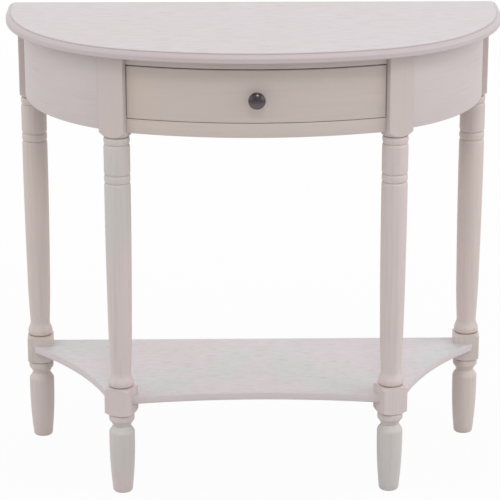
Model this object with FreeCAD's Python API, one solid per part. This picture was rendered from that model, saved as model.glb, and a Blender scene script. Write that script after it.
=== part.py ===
import FreeCAD, Part
import math
import os

# Half-round console table: a bow-shaped moulded top on four turned legs, curved aprons,
# one bowed drawer between the front legs and a thin shelf let into the lower leg blocks.
# Millimetres. The floor is Z 0, the front is -Y and the straight rear edge is +Y.

V = FreeCAD.Vector
ORIGIN = V(0, 0, 0)
UP = V(0, 0, 1)
ACROSS = V(1, 0, 0)
BACKWARD = V(0, 1, 0)

# Overall
TABLE_HEIGHT = 750
TOP_WIDTH = 800
TOP_DEPTH = 350
OVERRUN = 5

# Top: three tangent arcs, then straight sides to the rear edge
TOP_THICKNESS = 15
TOP_FRONT_RADIUS = 690
SIDE_STRAIGHT = 49
EDGE_SET_IN = 7.5
QUIRK_DEPTH = 2
QUIRK_FLAT = 1.5
EDGE_ROUND = 0.7
EDGE_EASE = 1.5

# Legs: square stock, turned between and below the blocks
LEG_SQUARE = 42
CORNER_CLEAR_SHARE = 0.75
REAR_LEG_SIDE_IN = 17.2
REAR_LEG_BACK_IN = 7
FRONT_LEG_SPREAD = 434
FRONT_LEG_TURN = 22
TURNED_DIAMETER = 41.4
GROOVE_DIAMETER = 37.8
UPPER_BLOCK_LENGTH = 127
SHOULDER_LENGTH = 9
NOTCH_SLOPE = 3.2
BEAD_LENGTH = 10.2
VASE_LENGTH = 49.5
RING_LENGTH = 15
SHAFT_RISE = 1
NECK_DIAMETER = 32.4
BELL_LENGTH = 15
BELL_DIAMETER = 41
BELL_RING_LENGTH = 9
LOWER_BLOCK_LENGTH = 53
BULB_LENGTH = 17
COVE_DIAMETER = 29.6
FOOT_LENGTH = 103
FOOT_DIAMETER = 32
FOOT_RISE = 0.6

# Aprons and front rails
APRON_SIDE_SET_IN = 28
APRON_FRONT_SET_IN = 22
APRON_THICKNESS = 18
APRON_HEIGHT = 121
BACK_APRON_SET_IN = 2
FACE_SET_IN = 35
RAIL_THICKNESS = 22
UPPER_RAIL_HEIGHT = 17
LOWER_RAIL_HEIGHT = 23
DRAWER_OPENING = 85.5

# Shelf
SHELF_TOP_HEIGHT = 167
SHELF_THICKNESS = 12
SHELF_BACK_SET_IN = 17
SHELF_SIDE_HOLLOW = 16.3
SHELF_FRONT_HOLLOW = 17
REAR_NOTCH_WIDTH = 25
FRONT_NOTCH_DEPTH = 27
NOTCH_FIT = 0.2

# Drawer
DRAWER_GAP = 1.6
DRAWER_FRONT_THICKNESS = 20
DRAWER_SIDE_THICKNESS = 10
DRAWER_SIDE_ROOM = 4
DRAWER_TOP_ROOM = 3
DRAWER_BACK_ROOM = 32
DRAWER_BACK_THICKNESS = 10
DRAWER_BACK_DROP = 8
DRAWER_BACK_INSET = 6
DRAWER_BOTTOM_THICKNESS = 5
DRAWER_BOTTOM_RAISE = 7
GROOVE_DEPTH = 5
GROOVE_FIT = 0.1
FRONT_HOUSING = 6
BACK_HOUSING = 4
SLIDE_GAP = 0.4

# Runners, kickers, stops and corner blocks
RUNNER_WIDTH = 33
RUNNER_HEIGHT = 16
GUIDE_HEIGHT = 20
GUIDE_GAP = 1
RUNNER_INSIDE = 20
KICKER_WIDTH = 22
STOP_HEIGHT = 18
TOP_BLOCK_SIDE = 21

# Knob
KNOB_HEIGHT_SHARE = 0.475
KNOB_BASE_DIAMETER = 15
KNOB_BASE_LENGTH = 2.5
KNOB_STEM_DIAMETER = 10
KNOB_STEM_LENGTH = 10.5
KNOB_DIAMETER = 26.5
KNOB_RIM_LENGTH = 4
KNOB_DOME_LENGTH = 8
KNOB_CROWN_DIAMETER = 17
KNOB_CROWN_LENGTH = 2.5
KNOB_SCREW_DIAMETER = 4
KNOB_SCREW_REACH = 11
KNOB_SCREW_HEAD_DIAMETER = 8
KNOB_SCREW_HEAD_LENGTH = 2.5
KNOB_SCREW_FIT = 0.1
KNOB_SCREW_END_ROOM = 0.5

# Loose tenons
TENON_THICKNESS = 8
TENON_LENGTH = 36
APRON_TENON_SHOULDER = 15
RAIL_TENON_SHOULDER = 4
TENON_FIT = 0.1
TENON_END_ROOM = 0.5

# Levels
leg_top = TABLE_HEIGHT - TOP_THICKNESS
apron_bottom = leg_top - APRON_HEIGHT
opening_top = leg_top - UPPER_RAIL_HEIGHT
opening_bottom = opening_top - DRAWER_OPENING
lower_rail_bottom = opening_bottom - LOWER_RAIL_HEIGHT
shelf_bottom = SHELF_TOP_HEIGHT - SHELF_THICKNESS
runner_top = opening_bottom
drawer_bottom_edge = runner_top + SLIDE_GAP
panel_bottom = drawer_bottom_edge + DRAWER_BOTTOM_RAISE
panel_top = panel_bottom + DRAWER_BOTTOM_THICKNESS
drawer_side_top = opening_top - DRAWER_TOP_ROOM
drawer_back_top = drawer_side_top - DRAWER_BACK_DROP

# Places on the plan
rear_y = TOP_DEPTH / 2
front_y = -TOP_DEPTH / 2
side_y = rear_y - SIDE_STRAIGHT
half_leg = LEG_SQUARE / 2
rear_leg_x = TOP_WIDTH / 2 - REAR_LEG_SIDE_IN - half_leg
rear_leg_y = rear_y - REAR_LEG_BACK_IN - half_leg
rear_inner_x = rear_leg_x - half_leg
rear_front_y = rear_leg_y - half_leg
back_apron_y = rear_leg_y + half_leg - BACK_APRON_SET_IN
back_inner_y = back_apron_y - APRON_THICKNESS
drawer_end_y = back_inner_y - DRAWER_BACK_ROOM
drawer_back_y = drawer_end_y - DRAWER_BACK_INSET


def box(x0, x1, y0, y1, z0, z1):
    return Part.makeBox(x1 - x0, y1 - y0, z1 - z0, V(x0, y0, z0))


def prism(points, z0, z1):
    """Straight-sided block over a plan outline."""
    corners = [V(x, y, z0) for x, y in points]
    return Part.Face(Part.makePolygon(corners + corners[:1])).extrude(UP * (z1 - z0))


def mirrored(shape):
    return shape.mirror(ORIGIN, ACROSS)


def both(shapes):
    return shapes + [mirrored(shape) for shape in shapes]


def save(name, *solids):
    shape = solids[0] if len(solids) == 1 else Part.makeCompound(solids)
    shape.exportStep("parts/" + name + ".step")


def save_pair(name, right):
    save(name + "_right", right)
    save(name + "_left", mirrored(right))


class Bow:
    """Half-round plan outline: straight sides, two side arcs and one wide front arc, all tangent."""

    def __init__(self, half_width, nose_y, front_radius):
        self.half_width = half_width
        self.front_radius = front_radius
        self.front_centre_y = nose_y + front_radius
        drop = self.front_centre_y - side_y
        spare = front_radius ** 2 - half_width ** 2 - drop ** 2
        self.side_radius = spare / (2 * (front_radius - half_width))
        self.side_centre_x = half_width - self.side_radius
        self.joint_angle = math.atan2(self.side_centre_x, drop)

    def on_side(self, set_in, angle):
        radius = self.side_radius - set_in
        return V(self.side_centre_x + radius * math.sin(angle), side_y - radius * math.cos(angle), 0)

    def edges(self, set_in, back_y):
        """Open run from the right rear end, round the front, to the left rear end."""
        rear = V(self.half_width - set_in, back_y, 0)
        start = V(self.half_width - set_in, side_y, 0)
        middle = self.on_side(set_in, (math.pi / 2 + self.joint_angle) / 2)
        joint = self.on_side(set_in, self.joint_angle)
        nose = V(0, self.front_centre_y - self.front_radius + set_in, 0)
        left = [V(-p.x, p.y, 0) for p in (joint, middle, start, rear)]
        return [
            Part.LineSegment(rear, start).toShape(),
            Part.Arc(start, middle, joint).toShape(),
            Part.Arc(joint, nose, left[0]).toShape(),
            Part.Arc(left[0], left[1], left[2]).toShape(),
            Part.LineSegment(left[2], left[3]).toShape(),
        ]

    def solid(self, set_in, back_y, z0, z1):
        wide = self.half_width - set_in
        rear_edge = Part.LineSegment(V(-wide, back_y, 0), V(wide, back_y, 0)).toShape()
        face = Part.Face(Part.Wire(self.edges(set_in, back_y) + [rear_edge]))
        face.translate(UP * z0)
        return face.extrude(UP * (z1 - z0))


class Pen:
    """Draws a closed outline in the X-Z plane out of lines and arcs."""

    def __init__(self, x, z):
        self.at = V(x, 0, z)
        self.first = self.at
        self.edges = []

    def line(self, x, z):
        end = V(x, 0, z)
        self.edges.append(Part.LineSegment(self.at, end).toShape())
        self.at = end

    def arc(self, x, z, rise):
        """Arc whose middle stands off its chord, to the left of the way it is drawn."""
        end = V(x, 0, z)
        chord = end - self.at
        off_chord = V(-chord.z, 0, chord.x).normalize()
        middle = (self.at + end) * 0.5 + off_chord * rise
        self.edges.append(Part.Arc(self.at, middle, end).toShape())
        self.at = end

    def wire(self):
        self.line(self.first.x, self.first.z)
        return Part.Wire(self.edges)

    def turned(self):
        return Part.Face(self.wire()).revolve(ORIGIN, UP, 360)


top_bow = Bow(TOP_WIDTH / 2, front_y, TOP_FRONT_RADIUS)
apron_bow = Bow(
    TOP_WIDTH / 2 - APRON_SIDE_SET_IN,
    front_y + APRON_FRONT_SET_IN,
    TOP_FRONT_RADIUS - APRON_FRONT_SET_IN,
)

# The rails and the drawer front share one face, concentric with the front of the top
face_centre_y = top_bow.front_centre_y
face_radius = TOP_FRONT_RADIUS - FACE_SET_IN
rail_back_radius = face_radius - RAIL_THICKNESS
drawer_back_radius = face_radius - DRAWER_FRONT_THICKNESS

# Front right leg: its axis follows the apron's side arc, and its square is turned outwards
front_leg_x = FRONT_LEG_SPREAD / 2
front_leg_radius = apron_bow.side_radius - half_leg
front_leg_y = side_y - math.sqrt(front_leg_radius ** 2 - (front_leg_x - apron_bow.side_centre_x) ** 2)
turn = math.radians(FRONT_LEG_TURN)
block_side = V(math.cos(turn), math.sin(turn), 0)
block_front = V(math.sin(turn), -math.cos(turn), 0)


def at_front_leg(side, ahead, z=0):
    """Place given in the front right leg's own turned directions."""
    return V(front_leg_x, front_leg_y, z) + block_side * side + block_front * ahead


drawer_half_width = at_front_leg(-half_leg, -half_leg).x - DRAWER_SIDE_ROOM
drawer_inner_x = drawer_half_width - DRAWER_SIDE_THICKNESS


def front_disc(radius, z0, z1):
    return Part.makeCylinder(radius, z1 - z0, V(0, face_centre_y, z0))


def between_blocks(gap, z0, z1):
    """Wedge of space between the facing sides of the two front blocks."""
    front = at_front_leg(-half_leg - gap, TOP_DEPTH / 2)
    back = at_front_leg(-half_leg - gap, -TOP_DEPTH / 2)
    return prism([(front.x, front.y), (back.x, back.y), (-back.x, back.y), (-front.x, front.y)], z0, z1)


def bowed_board(back_radius, gap, z0, z1):
    ring = front_disc(face_radius, z0, z1).cut(front_disc(back_radius, z0, z1))
    return ring.common(between_blocks(gap, z0, z1))


def swept_waste(outline):
    """Waste that a cutter takes off along the curved edge of the top."""
    path = Part.Wire(top_bow.edges(0, rear_y + OVERRUN))
    outline.translate(V(top_bow.half_width, rear_y + OVERRUN, 0))
    sweep = Part.BRepOffsetAPI.MakePipeShell(path)
    sweep.setBiNormalMode(UP)
    sweep.add(outline)
    sweep.build()
    sweep.makeSolid()
    return sweep.shape()


def table_top():
    ovolo = EDGE_SET_IN - QUIRK_FLAT
    ledge = TABLE_HEIGHT - QUIRK_DEPTH
    upper = Pen(-EDGE_SET_IN, TABLE_HEIGHT + OVERRUN)
    upper.line(-EDGE_SET_IN, ledge)
    upper.line(-ovolo, ledge)
    upper.arc(0, ledge - ovolo, EDGE_ROUND)
    upper.line(OVERRUN, ledge - ovolo)
    upper.line(OVERRUN, TABLE_HEIGHT + OVERRUN)
    lower = Pen(OVERRUN, leg_top + EDGE_EASE)
    lower.line(0, leg_top + EDGE_EASE)
    lower.line(-EDGE_EASE, leg_top)
    lower.line(-EDGE_EASE, leg_top - OVERRUN)
    lower.line(OVERRUN, leg_top - OVERRUN)
    slab = top_bow.solid(0, rear_y, leg_top, TABLE_HEIGHT)
    return slab.cut([swept_waste(upper.wire()), swept_waste(lower.wire())])


def turned_stock():
    """What the lathe leaves: blocks wider than the square stock, turned work narrower than it."""
    full = TURNED_DIAMETER / 2
    groove = GROOVE_DIAMETER / 2
    clear = LEG_SQUARE * CORNER_CLEAR_SHARE
    block_end = leg_top - UPPER_BLOCK_LENGTH
    low_block_middle = SHELF_TOP_HEIGHT - SHELF_THICKNESS / 2
    low_block_top = low_block_middle + LOWER_BLOCK_LENGTH / 2
    low_block_end = low_block_middle - LOWER_BLOCK_LENGTH / 2
    bell_end = low_block_top + BELL_RING_LENGTH
    neck = bell_end + BELL_LENGTH

    pen = Pen(0, leg_top)
    pen.line(clear, leg_top)
    pen.line(clear, block_end)
    pen.line(groove, block_end - SHOULDER_LENGTH)
    for length in (BEAD_LENGTH, VASE_LENGTH, RING_LENGTH):
        end = pen.at.z - length
        pen.line(full, pen.at.z - NOTCH_SLOPE)
        pen.line(full, end + NOTCH_SLOPE)
        pen.line(groove, end)
    pen.line(full, pen.at.z - NOTCH_SLOPE)
    pen.arc(NECK_DIAMETER / 2, neck, SHAFT_RISE)
    pen.line(BELL_DIAMETER / 2, bell_end)
    pen.line(groove, low_block_top)
    pen.line(clear, low_block_top - SHOULDER_LENGTH)
    pen.line(clear, low_block_end + SHOULDER_LENGTH)
    pen.line(groove, low_block_end)
    pen.line(COVE_DIAMETER / 2, low_block_end - BULB_LENGTH)
    pen.line(full, FOOT_LENGTH)
    pen.arc(FOOT_DIAMETER / 2, 0, FOOT_RISE)
    pen.line(0, 0)
    return pen.turned()


def leg_blank():
    stock = box(-half_leg, half_leg, -half_leg, half_leg, 0, leg_top)
    return stock.common(turned_stock())


def rear_leg(blank, holes):
    """Right rear leg, notched at its inner front corner for the shelf."""
    leg = blank.translated(V(rear_leg_x, rear_leg_y, 0))
    notch = box(
        rear_inner_x - OVERRUN,
        rear_inner_x + REAR_NOTCH_WIDTH + NOTCH_FIT,
        rear_front_y - OVERRUN,
        rear_y - SHELF_BACK_SET_IN + NOTCH_FIT,
        shelf_bottom,
        SHELF_TOP_HEIGHT + NOTCH_FIT,
    )
    return leg.cut([notch] + holes)


def front_leg(blank, holes):
    """Right front leg, slotted from behind for the shelf."""
    slot_end = FRONT_NOTCH_DEPTH - half_leg + NOTCH_FIT
    slot = box(
        -half_leg - OVERRUN,
        half_leg + OVERRUN,
        -slot_end,
        half_leg + OVERRUN,
        shelf_bottom,
        SHELF_TOP_HEIGHT + NOTCH_FIT,
    )
    leg = blank.cut(slot)
    leg.rotate(ORIGIN, UP, FRONT_LEG_TURN)
    leg.translate(V(front_leg_x, front_leg_y, 0))
    return leg.cut(holes)


def front_block(z0, z1):
    corners = [(-half_leg, -half_leg), (half_leg, -half_leg), (half_leg, half_leg), (-half_leg, half_leg)]
    places = [at_front_leg(side, ahead) for side, ahead in corners]
    return prism([(p.x, p.y) for p in places], z0, z1)


def side_apron(holes):
    """Right curved apron, from the front block's outer side to the rear block's front."""
    outer = apron_bow.solid(0, rear_y, apron_bottom, leg_top)
    inner = apron_bow.solid(APRON_THICKNESS, rear_y, apron_bottom, leg_top)
    front = at_front_leg(half_leg, LEG_SQUARE)
    back = at_front_leg(half_leg, -LEG_SQUARE)
    reach = [(front.x, front.y), (TOP_WIDTH / 2, front.y), (TOP_WIDTH / 2, rear_front_y)]
    reach += [(back.x, rear_front_y), (back.x, back.y)]
    return outer.cut(inner).common(prism(reach, apron_bottom, leg_top)).cut(holes)


def back_apron(holes):
    board = box(-rear_inner_x, rear_inner_x, back_inner_y, back_apron_y, apron_bottom, leg_top)
    return board.cut(holes)


def hollow_arc(start, end, hollow):
    """Arc that curves in towards the middle of the shelf."""
    chord = end - start
    inward = V(chord.y, -chord.x, 0).normalize()
    return Part.Arc(start, (start + end) * 0.5 + inward * hollow, end).toShape()


def shelf():
    tip = FRONT_NOTCH_DEPTH - half_leg
    back_y = rear_y - SHELF_BACK_SET_IN
    rear_tip_x = rear_inner_x + REAR_NOTCH_WIDTH
    right = [V(rear_tip_x, back_y, 0), V(rear_tip_x, rear_front_y, 0)]
    right += [at_front_leg(half_leg, tip), at_front_leg(-half_leg, tip)]
    left = [V(-p.x, p.y, 0) for p in right]
    edges = [
        Part.LineSegment(right[0], right[1]).toShape(),
        hollow_arc(right[1], right[2], SHELF_SIDE_HOLLOW),
        Part.LineSegment(right[2], right[3]).toShape(),
        hollow_arc(right[3], left[3], SHELF_FRONT_HOLLOW),
        Part.LineSegment(left[3], left[2]).toShape(),
        hollow_arc(left[2], left[1], SHELF_SIDE_HOLLOW),
        Part.LineSegment(left[1], left[0]).toShape(),
        Part.LineSegment(left[0], right[0]).toShape(),
    ]
    face = Part.Face(Part.Wire(edges))
    face.translate(UP * shelf_bottom)
    return face.extrude(UP * SHELF_THICKNESS)


def along_to_circle(place, direction, centre, radius):
    """Place on a line where it meets a circle, ahead of the line's start."""
    back = V(place.x - centre.x, place.y - centre.y, 0)
    lead = back.dot(direction)
    return place + direction * (math.sqrt(lead ** 2 - back.dot(back) + radius ** 2) - lead)


def side_apron_joints():
    """Middle, direction and width of each tenon of the right side apron: front end, then rear end."""
    lift = UP * (apron_bottom + APRON_HEIGHT / 2)
    width = APRON_HEIGHT - 2 * APRON_TENON_SHOULDER
    centre = V(apron_bow.side_centre_x, side_y, 0)
    apron_radius = apron_bow.side_radius - APRON_THICKNESS / 2
    front = along_to_circle(at_front_leg(half_leg, -half_leg), block_front, centre, apron_radius)
    rear = V(apron_bow.half_width - APRON_THICKNESS / 2, rear_front_y, 0)
    return [(front + lift, block_side, width), (rear + lift, BACKWARD, width)]


def back_apron_joints():
    middle = V(rear_inner_x, (back_inner_y + back_apron_y) / 2, apron_bottom + APRON_HEIGHT / 2)
    return [(middle, ACROSS, APRON_HEIGHT - 2 * APRON_TENON_SHOULDER)]


def rail_joints():
    """Right-hand ends of the lower and the upper rail."""
    centre = V(0, face_centre_y, 0)
    rail_radius = face_radius - RAIL_THICKNESS / 2
    place = along_to_circle(at_front_leg(-half_leg, -half_leg), block_front, centre, rail_radius)
    rails = ((lower_rail_bottom, LOWER_RAIL_HEIGHT), (opening_top, UPPER_RAIL_HEIGHT))
    return [(place + UP * (z + high / 2), block_side, high - 2 * RAIL_TENON_SHOULDER) for z, high in rails]


def tenon(middle, direction, width, fit=0, end_room=0):
    """Flat loose tenon that stands on edge across a joint."""
    length = TENON_LENGTH / 2 + end_room
    thick = TENON_THICKNESS / 2 + fit
    high = width / 2 + fit
    bar = box(-length, length, -thick, thick, -high, high)
    bar.Placement = FreeCAD.Placement(middle, FreeCAD.Rotation(ACROSS, direction))
    return bar


def tenons(joints):
    return [tenon(*joint) for joint in joints]


def mortises(joints):
    return [tenon(*joint, TENON_FIT, TENON_END_ROOM) for joint in joints]


def bow_back_y(radius, x):
    return face_centre_y - math.sqrt(radius ** 2 - x ** 2)


def runner(block):
    """Right L-section runner, notched round the front leg's block."""
    inner_x = drawer_half_width - RUNNER_INSIDE
    guide_x = drawer_half_width + GUIDE_GAP
    outer_x = inner_x + RUNNER_WIDTH
    bed = box(inner_x, outer_x, front_y, back_inner_y, runner_top - RUNNER_HEIGHT, runner_top)
    guide = box(guide_x, outer_x, front_y, back_inner_y, runner_top, runner_top + GUIDE_HEIGHT)
    bar = bed.fuse(guide).removeSplitter()
    reach = front_disc(rail_back_radius, runner_top - RUNNER_HEIGHT, runner_top + GUIDE_HEIGHT)
    return bar.common(reach).cut(block)


def kicker():
    inner_x = drawer_half_width - KICKER_WIDTH
    bar = box(inner_x, drawer_half_width, front_y, back_inner_y, opening_top, leg_top)
    return bar.common(front_disc(rail_back_radius, opening_top, leg_top))


def drawer_stop():
    inner_x = drawer_half_width - RUNNER_INSIDE
    stop_y = drawer_end_y + SLIDE_GAP
    return box(inner_x, drawer_half_width, stop_y, back_inner_y, runner_top, runner_top + STOP_HEIGHT)


def top_block():
    """Three-sided block glued under the top, in the corner of the right rear leg and the rear apron."""
    far_x = rear_inner_x - TOP_BLOCK_SIDE
    near_y = back_inner_y - TOP_BLOCK_SIDE
    corners = [(rear_inner_x, back_inner_y), (far_x, back_inner_y), (rear_inner_x, near_y)]
    return prism(corners, opening_top, leg_top)


def drawer_bottom_panel(fit):
    half = drawer_inner_x + GROOVE_DEPTH + fit
    low = panel_bottom - fit
    high = panel_top + fit
    panel = box(-half, half, front_y, drawer_end_y, low, high)
    return panel.common(front_disc(drawer_back_radius + GROOVE_DEPTH + fit, low, high))


def drawer_side_board(fit):
    """Right side of the drawer, housed in the back of the drawer front."""
    low = drawer_bottom_edge - fit
    high = drawer_side_top + fit
    board = box(drawer_inner_x - fit, drawer_half_width + fit, front_y, drawer_end_y, low, high)
    return board.common(front_disc(drawer_back_radius + FRONT_HOUSING + fit, low, high))


def drawer_back_board(fit):
    """Back of the drawer, housed in both sides and standing on the bottom."""
    half = drawer_inner_x + BACK_HOUSING + fit
    start_y = drawer_back_y - DRAWER_BACK_THICKNESS - fit
    return box(-half, half, start_y, drawer_back_y + fit, panel_top, drawer_back_top + fit)


def drawer_front(bore):
    low = opening_bottom + DRAWER_GAP
    high = opening_top - DRAWER_GAP
    board = bowed_board(drawer_back_radius, DRAWER_GAP, low, high)
    return board.cut([drawer_bottom_panel(GROOVE_FIT), bore] + both([drawer_side_board(GROOVE_FIT)]))


def drawer_side():
    return drawer_side_board(0).cut([drawer_bottom_panel(GROOVE_FIT), drawer_back_board(GROOVE_FIT)])


knob_z = opening_bottom + DRAWER_OPENING * KNOB_HEIGHT_SHARE
knob_seat = V(0, face_centre_y - face_radius, knob_z)


def knob_bore():
    start = knob_seat + BACKWARD * (DRAWER_FRONT_THICKNESS + OVERRUN)
    length = DRAWER_FRONT_THICKNESS + OVERRUN + KNOB_SCREW_REACH + KNOB_SCREW_END_ROOM
    return Part.makeCylinder(KNOB_SCREW_DIAMETER / 2 + KNOB_SCREW_FIT, length, start, -BACKWARD)


def drawer_knob():
    """Mushroom knob: a stem under a rimmed and crowned head."""
    rim = KNOB_DIAMETER / 2
    stem_end = KNOB_BASE_LENGTH + KNOB_STEM_LENGTH
    rim_end = stem_end + KNOB_RIM_LENGTH
    crown_end = rim_end + KNOB_DOME_LENGTH
    pen = Pen(0, 0)
    pen.line(KNOB_BASE_DIAMETER / 2, 0)
    pen.line(KNOB_BASE_DIAMETER / 2, KNOB_BASE_LENGTH)
    pen.line(KNOB_STEM_DIAMETER / 2, KNOB_BASE_LENGTH)
    pen.line(KNOB_STEM_DIAMETER / 2, stem_end)
    pen.line(rim, stem_end)
    pen.line(rim, rim_end)
    pen.line(KNOB_CROWN_DIAMETER / 2, crown_end - KNOB_CROWN_LENGTH)
    pen.line(0, crown_end)
    knob = pen.turned()
    knob.Placement = FreeCAD.Placement(knob_seat, FreeCAD.Rotation(UP, -BACKWARD))
    return knob.cut(knob_bore())


def knob_screw():
    head_y = bow_back_y(drawer_back_radius, KNOB_SCREW_HEAD_DIAMETER / 2)
    head_seat = V(0, head_y, knob_z)
    length = head_y - knob_seat.y + KNOB_SCREW_REACH
    shank = Part.makeCylinder(KNOB_SCREW_DIAMETER / 2, length, head_seat, -BACKWARD)
    head = Part.makeCylinder(KNOB_SCREW_HEAD_DIAMETER / 2, KNOB_SCREW_HEAD_LENGTH, head_seat, BACKWARD)
    return shank.fuse(head)


def build_frame():
    blank = leg_blank()
    side_joints = side_apron_joints()
    back_joints = back_apron_joints()
    front_joints = rail_joints()
    side_mortises = mortises(side_joints)
    back_mortises = mortises(back_joints)
    rail_mortises = mortises(front_joints)
    lower_rail = bowed_board(rail_back_radius, 0, lower_rail_bottom, opening_bottom)
    upper_rail = bowed_board(rail_back_radius, 0, opening_top, leg_top)

    save("table_top", table_top())
    save_pair("leg_rear", rear_leg(blank, side_mortises + back_mortises))
    save_pair("leg_front", front_leg(blank, side_mortises + rail_mortises))
    save_pair("apron", side_apron(side_mortises))
    save("apron_back", back_apron(both(back_mortises)))
    save("lower_front_rail", lower_rail.cut(both(rail_mortises)))
    save("upper_front_rail", upper_rail.cut(both(rail_mortises)))
    save("shelf", shelf())
    save_pair("drawer_runner", runner(front_block(lower_rail_bottom, leg_top)))
    save_pair("drawer_kicker", kicker())
    save_pair("drawer_stop", drawer_stop())
    save_pair("top_block", top_block())
    save("side_apron_tenons", *both(tenons(side_joints)))
    save("back_apron_tenons", *both(tenons(back_joints)))
    save("rail_tenons", *both(tenons(front_joints)))


def build_drawer():
    save("drawer_front", drawer_front(knob_bore()))
    save_pair("drawer_side", drawer_side())
    save("drawer_back", drawer_back_board(0))
    save("drawer_bottom", drawer_bottom_panel(0))
    save("drawer_knob", drawer_knob())
    save("knob_screw", knob_screw())


os.makedirs("parts", exist_ok=True)
build_frame()
build_drawer()
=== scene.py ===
import math
from collections import namedtuple

import bmesh
import bpy
from mathutils import Matrix, Vector


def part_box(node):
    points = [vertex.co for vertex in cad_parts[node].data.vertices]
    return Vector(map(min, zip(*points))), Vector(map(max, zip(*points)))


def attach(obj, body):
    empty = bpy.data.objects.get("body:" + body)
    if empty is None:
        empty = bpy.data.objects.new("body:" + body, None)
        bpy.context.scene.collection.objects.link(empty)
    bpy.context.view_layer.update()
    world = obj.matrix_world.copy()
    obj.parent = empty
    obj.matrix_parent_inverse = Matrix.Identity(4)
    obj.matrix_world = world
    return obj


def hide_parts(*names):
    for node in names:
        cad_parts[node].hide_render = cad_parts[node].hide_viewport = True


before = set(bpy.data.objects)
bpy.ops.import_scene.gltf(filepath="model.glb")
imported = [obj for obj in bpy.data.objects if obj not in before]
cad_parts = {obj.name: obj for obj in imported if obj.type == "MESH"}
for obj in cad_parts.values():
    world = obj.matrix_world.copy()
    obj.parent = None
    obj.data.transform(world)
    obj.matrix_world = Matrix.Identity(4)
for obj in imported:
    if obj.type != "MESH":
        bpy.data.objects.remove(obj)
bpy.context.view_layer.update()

# Half-round console table in washed paint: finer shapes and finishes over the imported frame.
# Metres. The floor is Z 0, the front is -Y and the straight rear edge is +Y.

UP = Vector((0, 0, 1))
REARWARD = Vector((0, 1, 0))
SAME_PLACE = 1e-6
ARC_STEP = math.radians(1.5)
EASED_ANGLE = math.radians(40)
SMOOTH_ANGLE = math.radians(32)
EASE_SEGMENTS = 3

# Top: its plan, then its moulding from the widest line up to the flat
TOP_DEPTH = 0.350
TOP_FRONT_RADIUS = 0.690
SIDE_STRAIGHT = 0.049
REAR_OVERRUN = 0.02
OVOLO = 0.006
OVOLO_STEPS = 6
OVOLO_SLOPES = math.radians(64), math.radians(18)
QUIRK_FLAT = 0.0021
QUIRK_DEPTH = 0.0016
QUIRK_LEAN = 0.0003
ARRIS = 0.0006
TOP_EASE = 0.0015
MOULD_ANGLE = math.radians(18)
# Strength of the painted shadow in the quirk, and how much the moulding's painted shade fades towards the
# ends
QUIRK_SHADE = 0.85
MOULD_SHADE_FADE = 0.75

# Legs: square blocks and their shoulders
LEG_SIDES = 96
CORNER_GATHER = 0.65
BLOCK_ROWS = 2
BLOCK_EASE = 0.0018
FRONT_LEG_TURN = math.radians(22)
UPPER_BLOCK_LENGTH = 0.127
LOWER_BLOCK_OVER_SHELF = 0.0222
LOWER_BLOCK_UNDER_SHELF = 0.0254
SHOULDER_LENGTH = 0.0098
SHOULDER_DROP = 0.0072
LOWER_SHOULDER_LENGTH = 0.0043
SHOULDER_STEPS = 6
SHOULDER_POWER = 1.4
# How the painted shade and wear grow down a shoulder into its groove
SHOULDER_SHADE_AND_WEAR_POWER = 6

# Legs: radii of the turned work
TURNED = 0.0207
BEAD = 0.0206
GROOVE = 0.0185
TAPERED = 0.0185
NECK = 0.0162
BELL_FLARE = 0.0182
BELL = 0.0203
BELL_LIP = 0.0198
CUP = 0.0176
WAIST = 0.0141
FOOT_SHOULDER = 0.0186
FOOT = 0.0160
FOOT_RIM = 0.0146

# Legs: lengths of the members under the upper block, from the top down
LINE_LENGTH = 0.0011
BEAD_HEAD = 0.0046
BEAD_TAIL = 0.0074
COLLAR_HEAD = 0.0062
COLLAR_LENGTH = 0.0375
COLLAR_TAIL = 0.0055
RING_HEAD = 0.0052
RING_FLAT = 0.0030
RING_TAIL = 0.0050
SHAFT_HEAD = 0.0062
# Painted shade and wear in the grooves under the upper block
GROOVE_SHADE_AND_WEAR = 0.35
QUARTER_STEPS = 6

# Legs: heights of the shaft over the floor and of the bell over the lower block, then painted shade and wear,
# and swell
TAPER_START = 0.4696
TAPER_END = 0.2628
NECK_HEIGHT = 0.0225
FLARE_HEIGHT = 0.0144
BELL_HEIGHT = 0.0083
BELL_END = 0.0030
BELL_LIP_HEIGHT = 0.0020
BELL_GROOVE_HEIGHT = 0.0011
BELL_LIP_SHADE_AND_WEAR = 0.5
SHAFT_SWELL = 0.0004
NECK_SWELL = 0.0001
FLARE_HOLLOW = 0.0004
BELL_SWELL = 0.0003

# Legs: cup and waist under the lower block, and foot under the waist and over the floor
CUP_GROOVE_DROP = 0.0008
CUP_BEAD_DROP = 0.0040
WAIST_DROP = 0.0212
CUP_START = 0.0127
CUP_END = 0.0073
FOOT_SHOULDER_DROP = 0.0064
FOOT_FULL_DROP = 0.0128
FOOT_TAPER_START = 0.0900
FOOT_RIM_HEIGHT = 0.0025
# Painted shade and wear in the groove under the lower block
CUP_GROOVE_SHADE_AND_WEAR = 0.7
CUP_SWELL = 0.0009
WAIST_SWELL = 0.0001
FOOT_SHOULDER_SWELL = 0.0007
FOOT_SWELL = 0.0012
FOOT_RIM_SWELL = 0.0003

# Curved boards
APRON_FRONT_SET_IN = 0.022
APRON_THICKNESS = 0.018
APRON_LEAD = math.radians(1)
FACE_SET_IN = 0.035
FACE_HALF_SWEEP = math.radians(25)
RAIL_THICKNESS = 0.022
DRAWER_FRONT_THICKNESS = 0.020
DRAWER_SIDE_GAP = 0.0011
DRAWER_FOOT = 0.0007
BOARD_EASE = 0.0010

# Shelf
SHELF_FRONT_NOTCH = 0.027
SHELF_REAR_REACH = 0.005
SHELF_SIDE_HOLLOW = 0.0163
SHELF_FRONT_HOLLOW = 0.017
SHELF_EASE = 0.0008

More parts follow.
